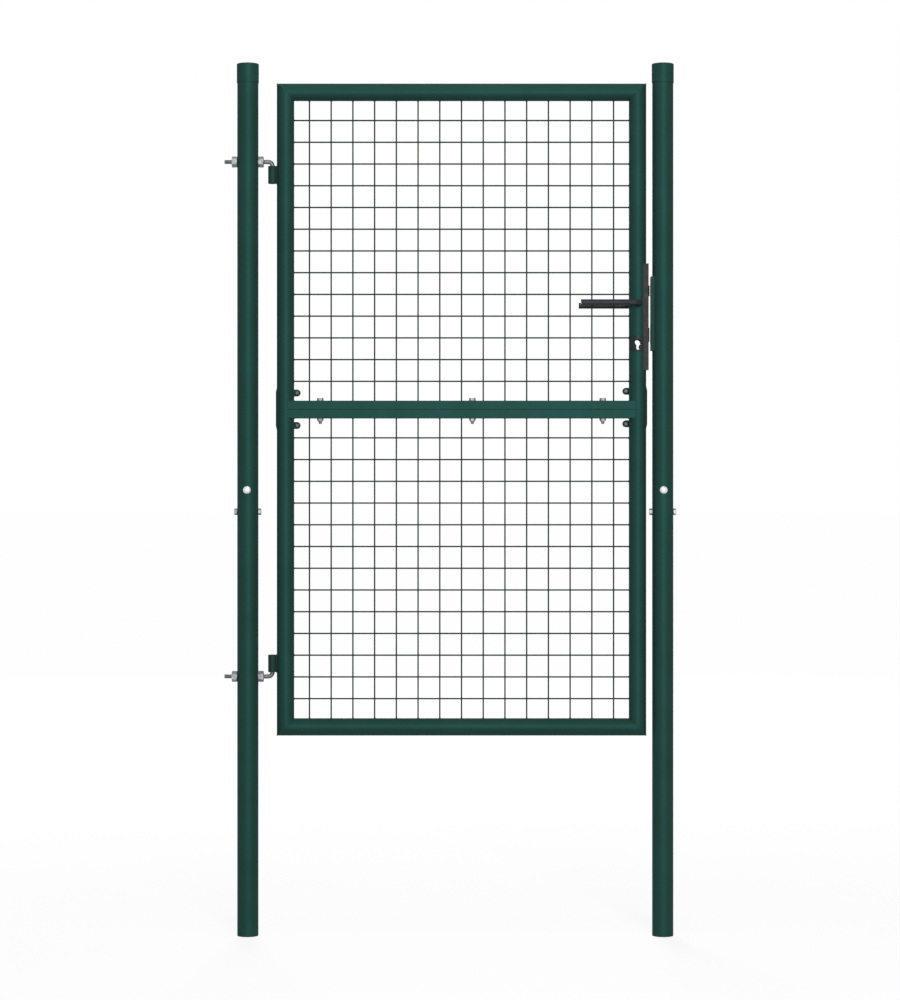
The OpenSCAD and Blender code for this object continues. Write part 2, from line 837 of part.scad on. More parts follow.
post_half(0, 0, post_mid);  // hinge_post_lower
post_half(0, post_mid, post_h);  // hinge_post_upper
post_coupler(0);  // hinge_post_coupler
post_cap(0);  // hinge_post_cap
post_half(lock_post_x, 0, post_mid);  // lock_post_lower
lock_post_upper();
post_coupler(lock_post_x);  // lock_post_coupler
post_cap(lock_post_x);  // lock_post_cap
post_bolts(0);  // hinge_post_bolts
post_bolts(lock_post_x);  // lock_post_bolts
post_bolt_nuts();
post_bolt_washers();
hinge_hook(upper_hook_z, -1);  // upper_hinge_hook
hinge_hook(lower_hook_z, 1);  // lower_hinge_hook
hook_nuts();
hook_washers();
strike_plate();
end_rail(1);  // top_rail
end_rail(-1);  // bottom_rail
color(green) half_stile(-1, 1);  // upper_hinge_stile
color(green) half_stile(-1, -1);  // lower_hinge_stile
upper_lock_stile();
color(green) half_stile(1, -1);  // lower_lock_stile
middle_rail(1);  // upper_middle_rail
middle_rail(-1);  // lower_middle_rail
mesh_panel(leaf_zm + rail_h, leaf_z1 - tube_d);  // upper_mesh
mesh_panel(leaf_z0 + tube_d, leaf_zm - rail_h);  // lower_mesh
hinge_eye(upper_eye_z);  // upper_hinge_eye
hinge_eye(lower_eye_z);  // lower_hinge_eye
splice_clip(-1);  // hinge_splice_clip
splice_clip(1);  // lock_splice_clip
splice_lugs();
splice_bolts();
splice_nuts();
rail_bolts();
rail_nuts();
rail_washers();
lock_housing();
escutcheon(-1);  // front_keyhole_plate
escutcheon(1);  // back_keyhole_plate
latch_bolt();
dead_bolt();
lever(-1);  // front_lever
lever(1);  // back_lever
spindle();
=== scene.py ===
import json
import math
import bpy
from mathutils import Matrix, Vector


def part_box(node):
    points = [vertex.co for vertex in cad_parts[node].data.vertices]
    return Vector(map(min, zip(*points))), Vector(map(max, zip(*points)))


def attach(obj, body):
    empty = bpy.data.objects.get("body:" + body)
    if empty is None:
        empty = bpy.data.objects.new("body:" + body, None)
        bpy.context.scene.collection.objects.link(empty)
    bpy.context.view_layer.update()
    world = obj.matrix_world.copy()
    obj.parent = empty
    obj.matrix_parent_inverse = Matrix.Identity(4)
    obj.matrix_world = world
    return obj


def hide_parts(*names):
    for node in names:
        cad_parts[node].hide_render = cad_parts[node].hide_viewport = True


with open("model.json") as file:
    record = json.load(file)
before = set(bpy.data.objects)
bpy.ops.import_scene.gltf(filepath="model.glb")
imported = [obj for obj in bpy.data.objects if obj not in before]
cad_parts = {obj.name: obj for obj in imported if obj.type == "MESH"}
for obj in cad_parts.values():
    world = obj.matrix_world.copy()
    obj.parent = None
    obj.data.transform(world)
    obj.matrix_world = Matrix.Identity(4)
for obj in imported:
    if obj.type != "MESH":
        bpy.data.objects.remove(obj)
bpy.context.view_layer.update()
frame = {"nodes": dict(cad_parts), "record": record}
print("frame loaded:", len(frame["nodes"]), "nodes")

mm = 0.001
threadTo = 39 * mm  # the hinge hooks are threaded up to this X


def linear(hexCode):
    # sRGB hex to a linear colour with alpha
    parts = [int(hexCode[i:i + 2], 16) / 255 for i in (1, 3, 5)]
    return [p / 12.92 if p <= 0.04045 else ((p + 0.055) / 1.055) ** 2.4 for p in parts] + [1.0]


def addNode(tree, kind, settings=None, values=None, links=None):
    # one node, its settings, its socket values, and its links as {socket: (node, output)}
    made = tree.nodes.new(kind)
    for name, value in (settings or {}).items():
        setattr(made, name, value)
    for name, value in (values or {}).items():
        made.inputs[name].default_value = value
    for name, (source, output) in (links or {}).items():
        tree.links.new(source.outputs[output], made.inputs[name])
    return made


# camera
cameraValues = {"aimX": 0.4652, "height": 1.002, "distance": 5.9, "seenHeight": 2.3013}
cameraData = bpy.data.cameras.new("camera")
cameraData.sensor_fit = "VERTICAL"
cameraData.angle_y = 2 * math.atan(cameraValues["seenHeight"] / 2 / cameraValues["distance"])
camera = bpy.data.objects.new("camera", cameraData)
camera.location = (cameraValues["aimX"], -cameraValues["distance"], cameraValues["height"])
camera.rotation_euler = (math.radians(90), 0, 0)
bpy.context.scene.collection.objects.link(camera)
bpy.context.scene.camera = camera
bpy.context.scene.view_settings.view_transform = "Standard"

# materials


def newMaterial(name, fixed):
    # an empty finish and its shader, with the values that are the same all over
    made = bpy.data.materials.new(name)
    made.use_nodes = True
    shader = made.node_tree.nodes["Principled BSDF"]
    for socket, value in fixed.items():
        shader.inputs[socket].default_value = value
    place = addNode(made.node_tree, "ShaderNodeTexCoord")
    return made, made.node_tree, shader, place


def noiseAt(tree, place, sizeMm, detail, roughness=0.5):
    # cloudy pattern fixed to the piece, with lumps of about this size
    return addNode(tree, "ShaderNodeTexNoise",
                   values={"Scale": 1 / (sizeMm * mm), "Detail": detail, "Roughness": roughness},
                   links={"Vector": (place, "Object")})


def remap(tree, source, before=(0, 1), after=(0, 1)):
    # source is (node, output)
    return addNode(tree, "ShaderNodeMapRange",
                   values={"From Min": before[0], "From Max": before[1],
                           "To Min": after[0], "To Max": after[1]},
                   links={"Value": source})


def blend(tree, factor, first, second):
    # from the first colour to the second as the factor, a (node, output), rises
    return addNode(tree, "ShaderNodeMix", {"data_type": "RGBA"},
                   {6: linear(first), 7: linear(second)}, {"Factor": factor})


def bumpOf(tree, height, strength, depthMm, under=None):
    # relief from a pattern, on top of another relief if there is one
    links = {"Height": (height, "Fac")}
    if under:
        links["Normal"] = (under, "Normal")
    return addNode(tree, "ShaderNodeBump",
                   values={"Strength": strength, "Distance": depthMm * mm}, links=links)


def plugIn(tree, shader, tint, gloss, relief):
    tree.links.new(tint.outputs[2], shader.inputs["Base Color"])
    tree.links.new(gloss.outputs["Result"], shader.inputs["Roughness"])
    tree.links.new(relief.outputs["Normal"], shader.inputs["Normal"])


# Polyester powder coat, sprayed and baked: deep green pigment whose broad sheen is green too, under
# a thin chalky skin that lays an even grey veil on it. Soft orange peel, and slow changes of tone
# where the film is thicker.
powderCoat = {"deep": "#103731", "light": "#143d37", "cloudMm": 110, "peelMm": 3.2, "grainMm": 1.4,
              "metallic": 0.4, "smooth": 0.5, "rough": 0.58}
# The same coat on small welded fittings, drawn darker and greyer as painted shade:
# it stands for the shade in the cusp between hinge eye and stile and beside the lock; the lugs take
# it too
shadedFittingCoat = {"deep": "#15302c", "light": "#1b3833", "cloudMm": 30, "peelMm": 3.2, "grainMm": 1.2,
            "metallic": 0.35, "smooth": 0.54, "rough": 0.62}
# Drawn wire under the same coat: thinner and drier over the wire, so darker and greyer
wireCoat = {"deep": "#1a2826", "light": "#20302d", "cloudMm": 60, "peelMm": 2.0, "grainMm": 1.2,
            "metallic": 0.2, "smooth": 0.55, "rough": 0.65}
# Injection-moulded polyethylene caps, matched to the coat: waxy and a touch smoother
capPlastic = {"deep": "#113832", "light": "#163e38", "cloudMm": 40, "peelMm": 5.0, "grainMm": 2.0,
              "metallic": 0.3, "smooth": 0.46, "rough": 0.53}
# what all four share: the chalky skin, and the height of peel and grain
chalkySkin = {"Specular IOR Level": 0.0, "Specular Tint": (0.6, 0.6, 0.6, 1),
              "Coat Weight": 0.5, "Coat Roughness": 0.9, "Coat IOR": 1.5}
coatRelief = {"band": (0.3, 0.7), "peelStrength": 0.25, "peelDepthMm": 0.12,
              "grainStrength": 0.15, "grainDepthMm": 0.05}


def greenPowderCoat(name, values):
    made, tree, shader, place = newMaterial(name, {"Metallic": values["metallic"], **chalkySkin})
    cloud = noiseAt(tree, place, values["cloudMm"], detail=3.0, roughness=0.6)
    spread = remap(tree, (cloud, "Fac"), coatRelief["band"])
    tint = blend(tree, (spread, "Result"), values["deep"], values["light"])
    # real grain is about 0.3 mm, drawn coarser so that it shows
    grain = noiseAt(tree, place, values["grainMm"], detail=2.0)
    gloss = remap(tree, (grain, "Fac"), coatRelief["band"], (values["smooth"], values["rough"]))
    peel = noiseAt(tree, place, values["peelMm"], detail=1.0)
    ripple = bumpOf(tree, peel, coatRelief["peelStrength"], coatRelief["peelDepthMm"])
    fine = bumpOf(tree, grain, coatRelief["grainStrength"], coatRelief["grainDepthMm"], ripple)
    plugIn(tree, shader, tint, gloss, fine)
    return made


# Electroplated zinc on turned and forged steel: cool grey, satin, with faint passivation clouds
zincPlate = {"dull": "#74787a", "bright": "#9ca0a2", "cloudMm": 9, "spangleMm": 1.6,
             "smooth": 0.54, "rough": 0.68}
# Domes drawn near white, a painted reflection of the front light mirrored in them
zincDomePaintedReflection = {"dull": "#c9cccd", "bright": "#e9ebeb", "cloudMm": 7, "spangleMm": 1.6,
            "smooth": 0.34, "rough": 0.48}
# The same zinc on drawn rod: greyer, and lighter on the thread as painted light for the darker
# reflections of its slanting flanks
zincRod = {"dull": "#54575a", "bright": "#777a7c", "cloudMm": 6, "spangleMm": 1.2,
           "smooth": 0.48, "rough": 0.62, "thread": "#868a8c"}
# Small lug bolts in a duller, darker zinc
zincDull = {"dull": "#3f4345", "bright": "#575b5d", "cloudMm": 5, "spangleMm": 1.2,
             "smooth": 0.5, "rough": 0.64}
# what all four share; plating grain is a few microns, drawn at half a millimetre
zincRelief = {"spangleShare": 0.25, "band": (0.4, 0.85), "grainMm": 0.5, "strength": 0.2,
              "depthMm": 0.03}


def zincPlatedSteel(name, values):
    made, tree, shader, place = newMaterial(name, {"Metallic": 1.0})
    cloud = noiseAt(tree, place, values["cloudMm"], detail=4.0, roughness=0.6)
    spangle = addNode(tree, "ShaderNodeTexVoronoi",
                      values={"Scale": 1 / (values["spangleMm"] * mm)},
                      links={"Vector": (place, "Object")})
    both = addNode(tree, "ShaderNodeMath", {"operation": "MULTIPLY_ADD"},
                   {1: zincRelief["spangleShare"]}, {0: (spangle, "Distance"), 2: (cloud, "Fac")})
    spread = remap(tree, (both, 0), zincRelief["band"])
    tint = blend(tree, (spread, "Result"), values["dull"], values["bright"])
    # the thread is painted lighter, painted light that makes up for what its flanks reflect less
    if "thread" in values:
        along = addNode(tree, "ShaderNodeSeparateXYZ", links={"Vector": (place, "Object")})
        threadPaintedLight = addNode(tree, "ShaderNodeMath", {"operation": "LESS_THAN"}, {1: threadTo},
                           {0: (along, "X")})
        tint = addNode(tree, "ShaderNodeMix", {"data_type": "RGBA"}, {7: linear(values["thread"])},
                       {"Factor": (threadPaintedLight, 0), 6: (tint, 2)})
    gloss = remap(tree, (spread, "Result"), after=(values["rough"], values["smooth"]))
    grain = noiseAt(tree, place, zincRelief["grainMm"], detail=2.0)
    relief = bumpOf(tree, grain, zincRelief["strength"], zincRelief["depthMm"])
    plugIn(tree, shader, tint, gloss, relief)
    return made


# Folded sheet steel, phosphated and oiled: near black with a violet cast and soft blotches
phosphate = {"dark": "#201e23", "pale": "#2c2a2f", "blotchMm": 14, "grainMm": 1.0,
             "smooth": 0.42, "rough": 0.6, "shine": 0.13}
# Pressed steel under a thin dark lacquer, greyer and greener than the lock's face
lacquer = {"dark": "#1c2525", "pale": "#262f2f", "blotchMm": 10, "grainMm": 1.0,
           "smooth": 0.4, "rough": 0.55, "shine": 0.15}
# Die-cast aluminium levers under black powder: even, with a fine cast grain
castPowder = {"dark": "#1e2122", "pale": "#272c2d", "blotchMm": 22, "grainMm": 1.3,
              "smooth": 0.44, "rough": 0.56, "shine": 0.13}
darkRelief = {"band": (0.32, 0.68), "strength": 0.2, "depthMm": 0.05}


def darkSteel(name, values):
    made, tree, shader, place = newMaterial(name, {"Specular IOR Level": values["shine"]})
    blotch = noiseAt(tree, place, values["blotchMm"], detail=5.0, roughness=0.65)
    spread = remap(tree, (blotch, "Fac"), darkRelief["band"])
    tint = blend(tree, (spread, "Result"), values["dark"], values["pale"])
    gloss = remap(tree, (spread, "Result"), after=(values["smooth"], values["rough"]))
    grain = noiseAt(tree, place, values["grainMm"], detail=2.0)
    relief = bumpOf(tree, grain, darkRelief["strength"], darkRelief["depthMm"])
    plugIn(tree, shader, tint, gloss, relief)
    return made


coat = greenPowderCoat("greenPowderCoat", powderCoat)
# a darker copy of the coat, painted shade for the fittings
shadedCoatOnFitting = greenPowderCoat("greenCoatShadedOnFitting", shadedFittingCoat)
coatOnWire = greenPowderCoat("greenCoatOnWire", wireCoat)
plastic = greenPowderCoat("greenCapPlastic", capPlastic)
zinc = zincPlatedSteel("zincPlatedSteel", zincPlate)
# a brighter copy of the zinc, a painted reflection on the domes
domeZincPaintedReflection = zincPlatedSteel("zincPlatedDomePaintedReflection", zincDomePaintedReflection)
rodZinc = zincPlatedSteel("zincPlatedRod", zincRod)
dullZinc = zincPlatedSteel("dullZincPlatedSteel", zincDull)
blackSteel = darkSteel("phosphatedSteel", phosphate)
blackPlate = darkSteel("darkLacqueredSteel", lacquer)
blackLever = darkSteel("blackPowderedAluminium", castPowder)

slotFinish = {"green_paint": coat, "zinc_plate": zinc, "dark_paint": blackSteel}
nodeFinish = {
    "upper_mesh": coatOnWire, "lower_mesh": coatOnWire,
    # the hinge eyes, strike plate and splice lugs get the coat darkened as painted shade
    "upper_hinge_eye": shadedCoatOnFitting, "lower_hinge_eye": shadedCoatOnFitting,
    "strike_plate": shadedCoatOnFitting, "splice_lugs": shadedCoatOnFitting,
    "hinge_post_cap": plastic, "lock_post_cap": plastic,
    "upper_hinge_hook": rodZinc, "lower_hinge_hook": rodZinc,
    "front_lever": blackLever, "back_lever": blackLever,
    "front_keyhole_plate": blackPlate, "back_keyhole_plate": blackPlate,
}
for part in frame["record"]["subparts"]:
    piece = frame["nodes"][part["node"]]
    piece.data.materials.clear()
    piece.data.materials.append(nodeFinish.get(part["node"], slotFinish[part["material_slot"]]))
print("materials on")

# modelling helpers


def startFresh():
    # nothing selected and nothing open, so that an operator acts only on what comes next
    if bpy.context.object and bpy.context.object.mode != "OBJECT":
        bpy.ops.object.mode_set(mode="OBJECT")
    bpy.ops.object.select_all(action="DESELECT")


def choose(piece):
    # this piece alone, selected and active
    startFresh()
    piece.select_set(True)
    bpy.context.view_layer.objects.active = piece


def pick(piece, kind, test):
    # opens edit mode with the faces or edges that pass a test selected
    bpy.ops.object.mode_set(mode="EDIT")
    bpy.ops.mesh.select_mode(type=kind)
    bpy.ops.mesh.select_all(action="DESELECT")
    bpy.ops.object.mode_set(mode="OBJECT")
    for item in piece.data.polygons if kind == "FACE" else piece.data.edges:
        if test(item):
            item.select = True
    bpy.ops.object.mode_set(mode="EDIT")


def facesUp(face):
    return face.normal.z > 0.9


def facesDown(face):
    return face.normal.z < -0.9


def useModifier(piece, kind, settings):
    made = piece.modifiers.new(kind.lower(), kind)
    for name, value in settings.items():
        setattr(made, name, value)
    bpy.ops.object.modifier_apply(modifier=made.name)


def finishPiece(piece, name, body, finish, smooth=35):
    # settles a piece into the frame: place in its mesh, soft shading, finish and body
    choose(piece)
    bpy.ops.object.transform_apply(location=True, rotation=True, scale=True)
    bpy.ops.object.shade_smooth_by_angle(angle=math.radians(smooth))
    piece.name = name
    piece.data.name = name
    piece.data.materials.clear()
    piece.data.materials.append(finish)
    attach(piece, body)
    return piece


def copyTo(piece, location, rotation=(0, 0, 0)):
    # a copy with its own mesh, set down elsewhere
    choose(piece)
    bpy.ops.object.duplicate(linked=False)
    made = bpy.context.object
    made.location = location
    made.rotation_euler = rotation
    return made


def drop(piece):
    # for patterns that copies were taken from, and for cutting tools
    choose(piece)
    bpy.ops.object.delete()


def combine(piece, tool, operation):
    # the piece joined to, cut by or kept inside a tool, which then goes
    choose(piece)
    useModifier(piece, "BOOLEAN", {"operation": operation, "object": tool, "solver": "EXACT"})
    drop(tool)


def joinAll(piecesToJoin):
    startFresh()
    for one in piecesToJoin:
        one.select_set(True)
    bpy.context.view_layer.objects.active = piecesToJoin[0]
    bpy.ops.object.join()
    return bpy.context.object


def cylinder(radius, low, high, sides, turn=0):
    # round Z, from height low to height high
    startFresh()
    bpy.ops.mesh.primitive_cylinder_add(vertices=sides, radius=radius, depth=high - low,
                                        location=(0, 0, (low + high) / 2), rotation=(0, 0, turn))
    bpy.ops.object.transform_apply(location=True, rotation=True, scale=False)
    return bpy.context.object


# thread sizes as shares of the pitch, and the shank's end as shares of its chamfer
threadShape = {"halfRidge": 0.42, "depth": 0.5, "steps": 16, "tipIn": 0.6, "startUp": 0.7}


def threadRidge(radius, pitch, low, high):
    # helical ridge round Z from height low to high: a four-sided ring carried up by Screw
    startFresh()
    half = pitch * threadShape["halfRidge"]
    bpy.ops.mesh.primitive_circle_add(vertices=4, radius=half, location=(0, 0, low + half),
                                      rotation=(math.radians(90), 0, 0))
    ridge = bpy.context.object
    bpy.ops.object.transform_apply(location=False, rotation=True, scale=False)
    bpy.ops.object.mode_set(mode="EDIT")
    bpy.ops.transform.translate(value=(radius - half, 0, 0))
    bpy.ops.object.mode_set(mode="OBJECT")
    useModifier(ridge, "SCREW", {
        "axis": "Z", "angle": math.tau, "screw_offset": pitch, "use_normal_calculate": True,
        "steps": threadShape["steps"], "render_steps": threadShape["steps"],
        "iterations": max(1, round((high - low - 2 * half) / pitch))})
    bpy.ops.object.mode_set(mode="EDIT")
    bpy.ops.mesh.select_all(action="SELECT")
    bpy.ops.mesh.fill_holes(sides=4)
    bpy.ops.mesh.select_all(action="SELECT")
    bpy.ops.mesh.normals_make_consistent(inside=False)
    bpy.ops.object.mode_set(mode="OBJECT")
    return ridge


def threadedShank(radius, pitch, length, threaded, chamfer):
    # shank that hangs down from the origin, with thread on its lower end
    root = radius - pitch * threadShape["depth"]
    shank = cylinder(radius, threaded - length, 0, sides=32)
    pick(shank, "FACE", facesDown)
    bpy.ops.mesh.inset(thickness=radius - root)
    bpy.ops.mesh.extrude_region_move(TRANSFORM_OT_translate={"value": (0, 0, chamfer - threaded)})
    bpy.ops.mesh.extrude_region_move(TRANSFORM_OT_translate={"value": (0, 0, -chamfer)})
    tip = (root - chamfer * threadShape["tipIn"]) / root
    bpy.ops.transform.resize(value=(tip, tip, 1))
    bpy.ops.object.mode_set(mode="OBJECT")
    ridge = threadRidge(radius, pitch, chamfer * threadShape["startUp"] - length, threaded - length)
    return joinAll([shank, ridge])


def solidBoxes(node, axes, gap=12 * mm):
    # lowest and highest corner of each separate solid of a node, told apart along some axes
    boxes = []
    for vertex in frame["nodes"][node].data.vertices:
        at = vertex.co
        home = next((b for b in boxes
                     if all(b[0][a] - gap < at[a] < b[1][a] + gap for a in axes)), None)
        if home is None:
            boxes.append([Vector(at), Vector(at)])
            continue
        for a in range(3):
            home[0][a] = min(home[0][a], at[a])
            home[1][a] = max(home[1][a], at[a])
    return sorted(boxes, key=lambda b: (round(b[0].x, 3), round(b[0].z, 3)))


print("helpers ready")

# hinge hooks
# Rod with a rolled thread on the tail, turned through a right angle into the pin
hookValues = {"rod": 10, "pitch": 1.5, "bend": 9.5, "chamfer": 0.8, "bendSteps": 12}


def hookRod(low, high):
    v = hookValues
    radius = v["rod"] / 2 * mm
    bend = v["bend"] * mm
    chamfer = v["chamfer"] * mm
    startX = high.x - radius - bend
    rod = threadedShank(radius, v["pitch"] * mm, startX - low.x, threadTo - low.x, chamfer)
    # its upper end, and not the ends of the thread below
    pick(rod, "FACE", lambda f: facesUp(f) and f.center.z > -0.1 * mm)
    step = math.radians(90) / v["bendSteps"]
    for _ in range(v["bendSteps"]):
        bpy.ops.mesh.extrude_region_move(TRANSFORM_OT_translate={"value": (0, 0, 0)})
        bpy.ops.transform.rotate(value=-step, orient_axis="Y", center_override=(bend, 0, 0))
    straight = high.z - low.z - radius - bend
    bpy.ops.mesh.extrude_region_move(TRANSFORM_OT_translate={"value": (straight - chamfer, 0, 0)})
    bpy.ops.mesh.extrude_region_move(TRANSFORM_OT_translate={"value": (chamfer, 0, 0)})
    shrink = (radius - chamfer) / radius
    bpy.ops.transform.resize(value=(1, shrink, shrink), center_override=(bend + straight, 0, bend))
    bpy.ops.object.mode_set(mode="OBJECT")
    return rod, startX


low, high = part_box("upper_hinge_hook")
rod, startX = hookRod(low, high)
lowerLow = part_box("lower_hinge_hook")[0]
radius = hookValues["rod"] / 2 * mm
for node, axisZ, roll in (("upper_hinge_hook", high.z - radius, 0),
                          ("lower_hinge_hook", lowerLow.z + radius, 180)):
    # local up turns to +X, and the lower hook is rolled over so that its pin points up
    hook = copyTo(rod, (startX, 0, axisZ), (0, math.radians(90), 0))
    bpy.ops.object.transform_apply(location=False, rotation=True, scale=False)
    hook.rotation_euler = (math.radians(roll), 0, 0)
    finishPiece(hook, node.replace("hinge_hook", "threaded_hook"), "posts", rodZinc)
    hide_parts(node)
drop(rod)
print("hooks made")

# bolts
# Cold-headed hexagon bolts with a rolled thread, domed bolts, and locking nuts
railBoltValues = {"thread": 8, "pitch": 1.25, "flats": 13, "head": 5.3, "threaded": 22}
lugBoltValues = {"thread": 5, "pitch": 0.8, "flats": 8, "head": 3.5, "threaded": 12}
domedBoltValues = {"thread": 8, "pitch": 1.25, "width": 18, "head": 4.8, "threaded": 22}
lockNutValues = {"flats": 13, "foot": 4.0, "collar": 10.8, "bore": 8.2, "edge": 1.2}
# the cone that turns off a head's corners: wide end and flat top as shares, and its fall
headCone = {"wide": 1.02, "top": 0.95, "fall": 0.5}
boltChamfer = 0.8 * mm


def hexHead(flats, height):
    # six-sided head with a corner on X, its top corners turned off by a cone
    corner = flats / 2 / math.cos(math.radians(30))
    wide = corner * headCone["wide"]
    inwards = wide - flats / 2 * headCone["top"]
    head = cylinder(corner, 0, height, sides=6, turn=math.radians(30))
    cone = cylinder(wide, -height / 2, height, sides=48)
    pick(cone, "FACE", facesUp)
    bpy.ops.mesh.inset(thickness=inwards)
    bpy.ops.object.mode_set(mode="OBJECT")

    def onTopRim(edge):
        ends = [cone.data.vertices[i].co for i in edge.vertices]
        return all(end.z > 0 and end.xy.length > corner for end in ends)

    pick(cone, "EDGE", onTopRim)
    bpy.ops.transform.translate(value=(0, 0, -inwards * headCone["fall"]))
    bpy.ops.object.mode_set(mode="OBJECT")
    combine(head, cone, "INTERSECT")
    return head


def domedHead(width, height):
    # mushroom head: the top of a ball, cut flat and closed below
    startFresh()
    ball = ((width / 2) ** 2 + height ** 2) / (2 * height)
    bpy.ops.mesh.primitive_uv_sphere_add(segments=48, ring_count=48, radius=ball,
                                         location=(0, 0, height - ball))
    bpy.ops.object.transform_apply(location=True, rotation=False, scale=False)
    bpy.ops.object.mode_set(mode="EDIT")
    bpy.ops.mesh.select_all(action="SELECT")
    bpy.ops.mesh.bisect(plane_co=(0, 0, 0), plane_no=(0, 0, 1), use_fill=True, clear_inner=True)
    bpy.ops.object.mode_set(mode="OBJECT")
    return bpy.context.object


def boltPattern(values, whole):
    # bolt that hangs down from under its head, whole being its length with the head
    height = values["head"] * mm
    if "flats" in values:
        head = hexHead(values["flats"] * mm, height)
    else:
        head = domedHead(values["width"] * mm, height)
    shank = threadedShank(values["thread"] / 2 * mm, values["pitch"] * mm, whole - height,
                          values["threaded"] * mm, boltChamfer)
    return joinAll([head, shank])


# rail bolts stand through both middle rails
boxes = solidBoxes("rail_bolts", (0,))
v = railBoltValues
pattern = boltPattern(v, boxes[0][1].z - boxes[0][0].z)
for i, (low, high) in enumerate(boxes):
    bolt = copyTo(pattern, ((low.x + high.x) / 2, 0, high.z - v["head"] * mm))
    finishPiece(bolt, "rail_bolt_%d" % (i + 1), "leaf", zinc)
    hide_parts("rail_bolts")
drop(pattern)

# locking nuts under the rails: a six-sided foot, and a narrower collar crimped over a nylon ring
boxes = solidBoxes("rail_nuts", (0,))
v = lockNutValues
tall = boxes[0][1].z - boxes[0][0].z
nut = hexHead(v["flats"] * mm, v["foot"] * mm)
collar = cylinder(v["collar"] / 2 * mm, v["foot"] / 2 * mm, tall, sides=48)
useModifier(collar, "BEVEL", {"width": v["edge"] * mm, "segments": 3, "limit_method": "ANGLE",
                              "angle_limit": math.radians(60)})
combine(nut, collar, "UNION")
combine(nut, cylinder(v["bore"] / 2 * mm, -mm, tall + mm, sides=48), "DIFFERENCE")
for i, (low, high) in enumerate(boxes):
    lockNut = copyTo(nut, ((low.x + high.x) / 2, 0, high.z), (math.pi, 0, 0))
    finishPiece(lockNut, "rail_lock_nut_%d" % (i + 1), "leaf", zinc)
    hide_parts("rail_nuts")
drop(nut)

# lug bolts point to the back; their thread is set longer than their shank, so they come out 1.1 mm
# longer than the frame's, with the collapsed plain part of the shank inside the head
boxes = solidBoxes("splice_bolts", (0, 2))
v = lugBoltValues
pattern = boltPattern(v, boxes[0][1].y - boxes[0][0].y)
for i, (low, high) in enumerate(boxes):
    bolt = copyTo(pattern, ((low.x + high.x) / 2, low.y + v["head"] * mm, (low.z + high.z) / 2),
                  (math.radians(90), 0, 0))
    finishPiece(bolt, "lug_bolt_%d" % (i + 1), "leaf", dullZinc)
    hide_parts("splice_bolts")
drop(pattern)

# each post has a domed bolt from front to back and a hexagon bolt from side to side
for node, post in (("hinge_post_bolts", "hinge_post"), ("lock_post_bolts", "lock_post")):
    side, front = sorted(solidBoxes(node, (2,)), key=lambda b: b[0].z)
    v = domedBoltValues
    low, high = front
    pattern = boltPattern(v, high.y - low.y)
    bolt = copyTo(pattern, ((low.x + high.x) / 2, low.y + v["head"] * mm, (low.z + high.z) / 2),
                  (math.radians(90), 0, 0))
    # the dome takes the brighter zinc, a painted reflection
    finishPiece(bolt, post + "_domed_bolt", "posts", domeZincPaintedReflection)
    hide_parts(node)
    drop(pattern)
    v = railBoltValues
    low, high = side
    pattern = boltPattern(v, high.x - low.x)
    bolt = copyTo(pattern, (low.x + v["head"] * mm, 0, (low.z + high.z) / 2),
                  (0, math.radians(-90), 0))
    finishPiece(bolt, post + "_side_bolt", "posts", zinc)
    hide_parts(node)
    drop(pattern)
print("bolts made")

# welds
# Beads laid by hand in short overlapping runs, coated with the frame
weldValues = {"radius": 1.5, "step": 1.7, "swell": 1.2, "ends": 0.6, "sides": 12}


def beadRing(at, along):
    # closed ring that the bead grows from, facing along the bead
    startFresh()
    turn = Vector((0, 0, 1)).rotation_difference(along).to_euler()
    bpy.ops.mesh.primitive_circle_add(
        vertices=weldValues["sides"], radius=weldValues["radius"] * mm * weldValues["ends"],
        fill_type="NGON", location=at, rotation=turn)
    bpy.ops.object.transform_apply(location=True, rotation=True, scale=False)
    bpy.ops.object.mode_set(mode="EDIT")
    bpy.ops.mesh.select_all(action="SELECT")


def swellBead(i, count, at):
    # full width after the first step, small again at the last, and a ripple between
    if i == 0:
        grow = 1 / weldValues["ends"]
    elif i == count - 1:
        grow = weldValues["ends"]
    else:
        grow = weldValues["swell"] ** (1 if i % 2 else -1)
    bpy.ops.transform.resize(value=(grow, grow, grow), center_override=tuple(at))


def closeBead(name, body):
    bpy.ops.mesh.select_all(action="SELECT")
    bpy.ops.mesh.normals_make_consistent(inside=False)
    bpy.ops.object.mode_set(mode="OBJECT")
    return finishPiece(bpy.context.object, name, body, coat, smooth=60)


def straightBead(name, body, start, end):
    along = Vector(end) - Vector(start)
    count = round(along.length / (weldValues["step"] * mm))
    beadRing(start, along)
    at = Vector(start)
    for i in range(count):
        bpy.ops.mesh.extrude_region_move(TRANSFORM_OT_translate={"value": tuple(along / count)})
        at += along / count
        swellBead(i, count, at)
    return closeBead(name, body)


def roundBead(name, body, centre, radius, fromAngle, toAngle):
    # bead round an upright tube, angles from +X and rising
    centre = Vector(centre)
    sweep = toAngle - fromAngle
    count = round(sweep * radius / (weldValues["step"] * mm))
    at = centre + Vector((math.cos(fromAngle), math.sin(fromAngle), 0)) * radius
    beadRing(at, Vector((-math.sin(fromAngle), math.cos(fromAngle), 0)))
    for i in range(count):
        bpy.ops.mesh.extrude_region_move(TRANSFORM_OT_translate={"value": (0, 0, 0)})
        bpy.ops.transform.rotate(value=-sweep / count, orient_axis="Z",
                                 center_override=tuple(centre))
        angle = fromAngle + sweep * (i + 1) / count
        at = centre + Vector((math.cos(angle), math.sin(angle), 0)) * radius
        swellBead(i, count, at)
    return closeBead(name, body)


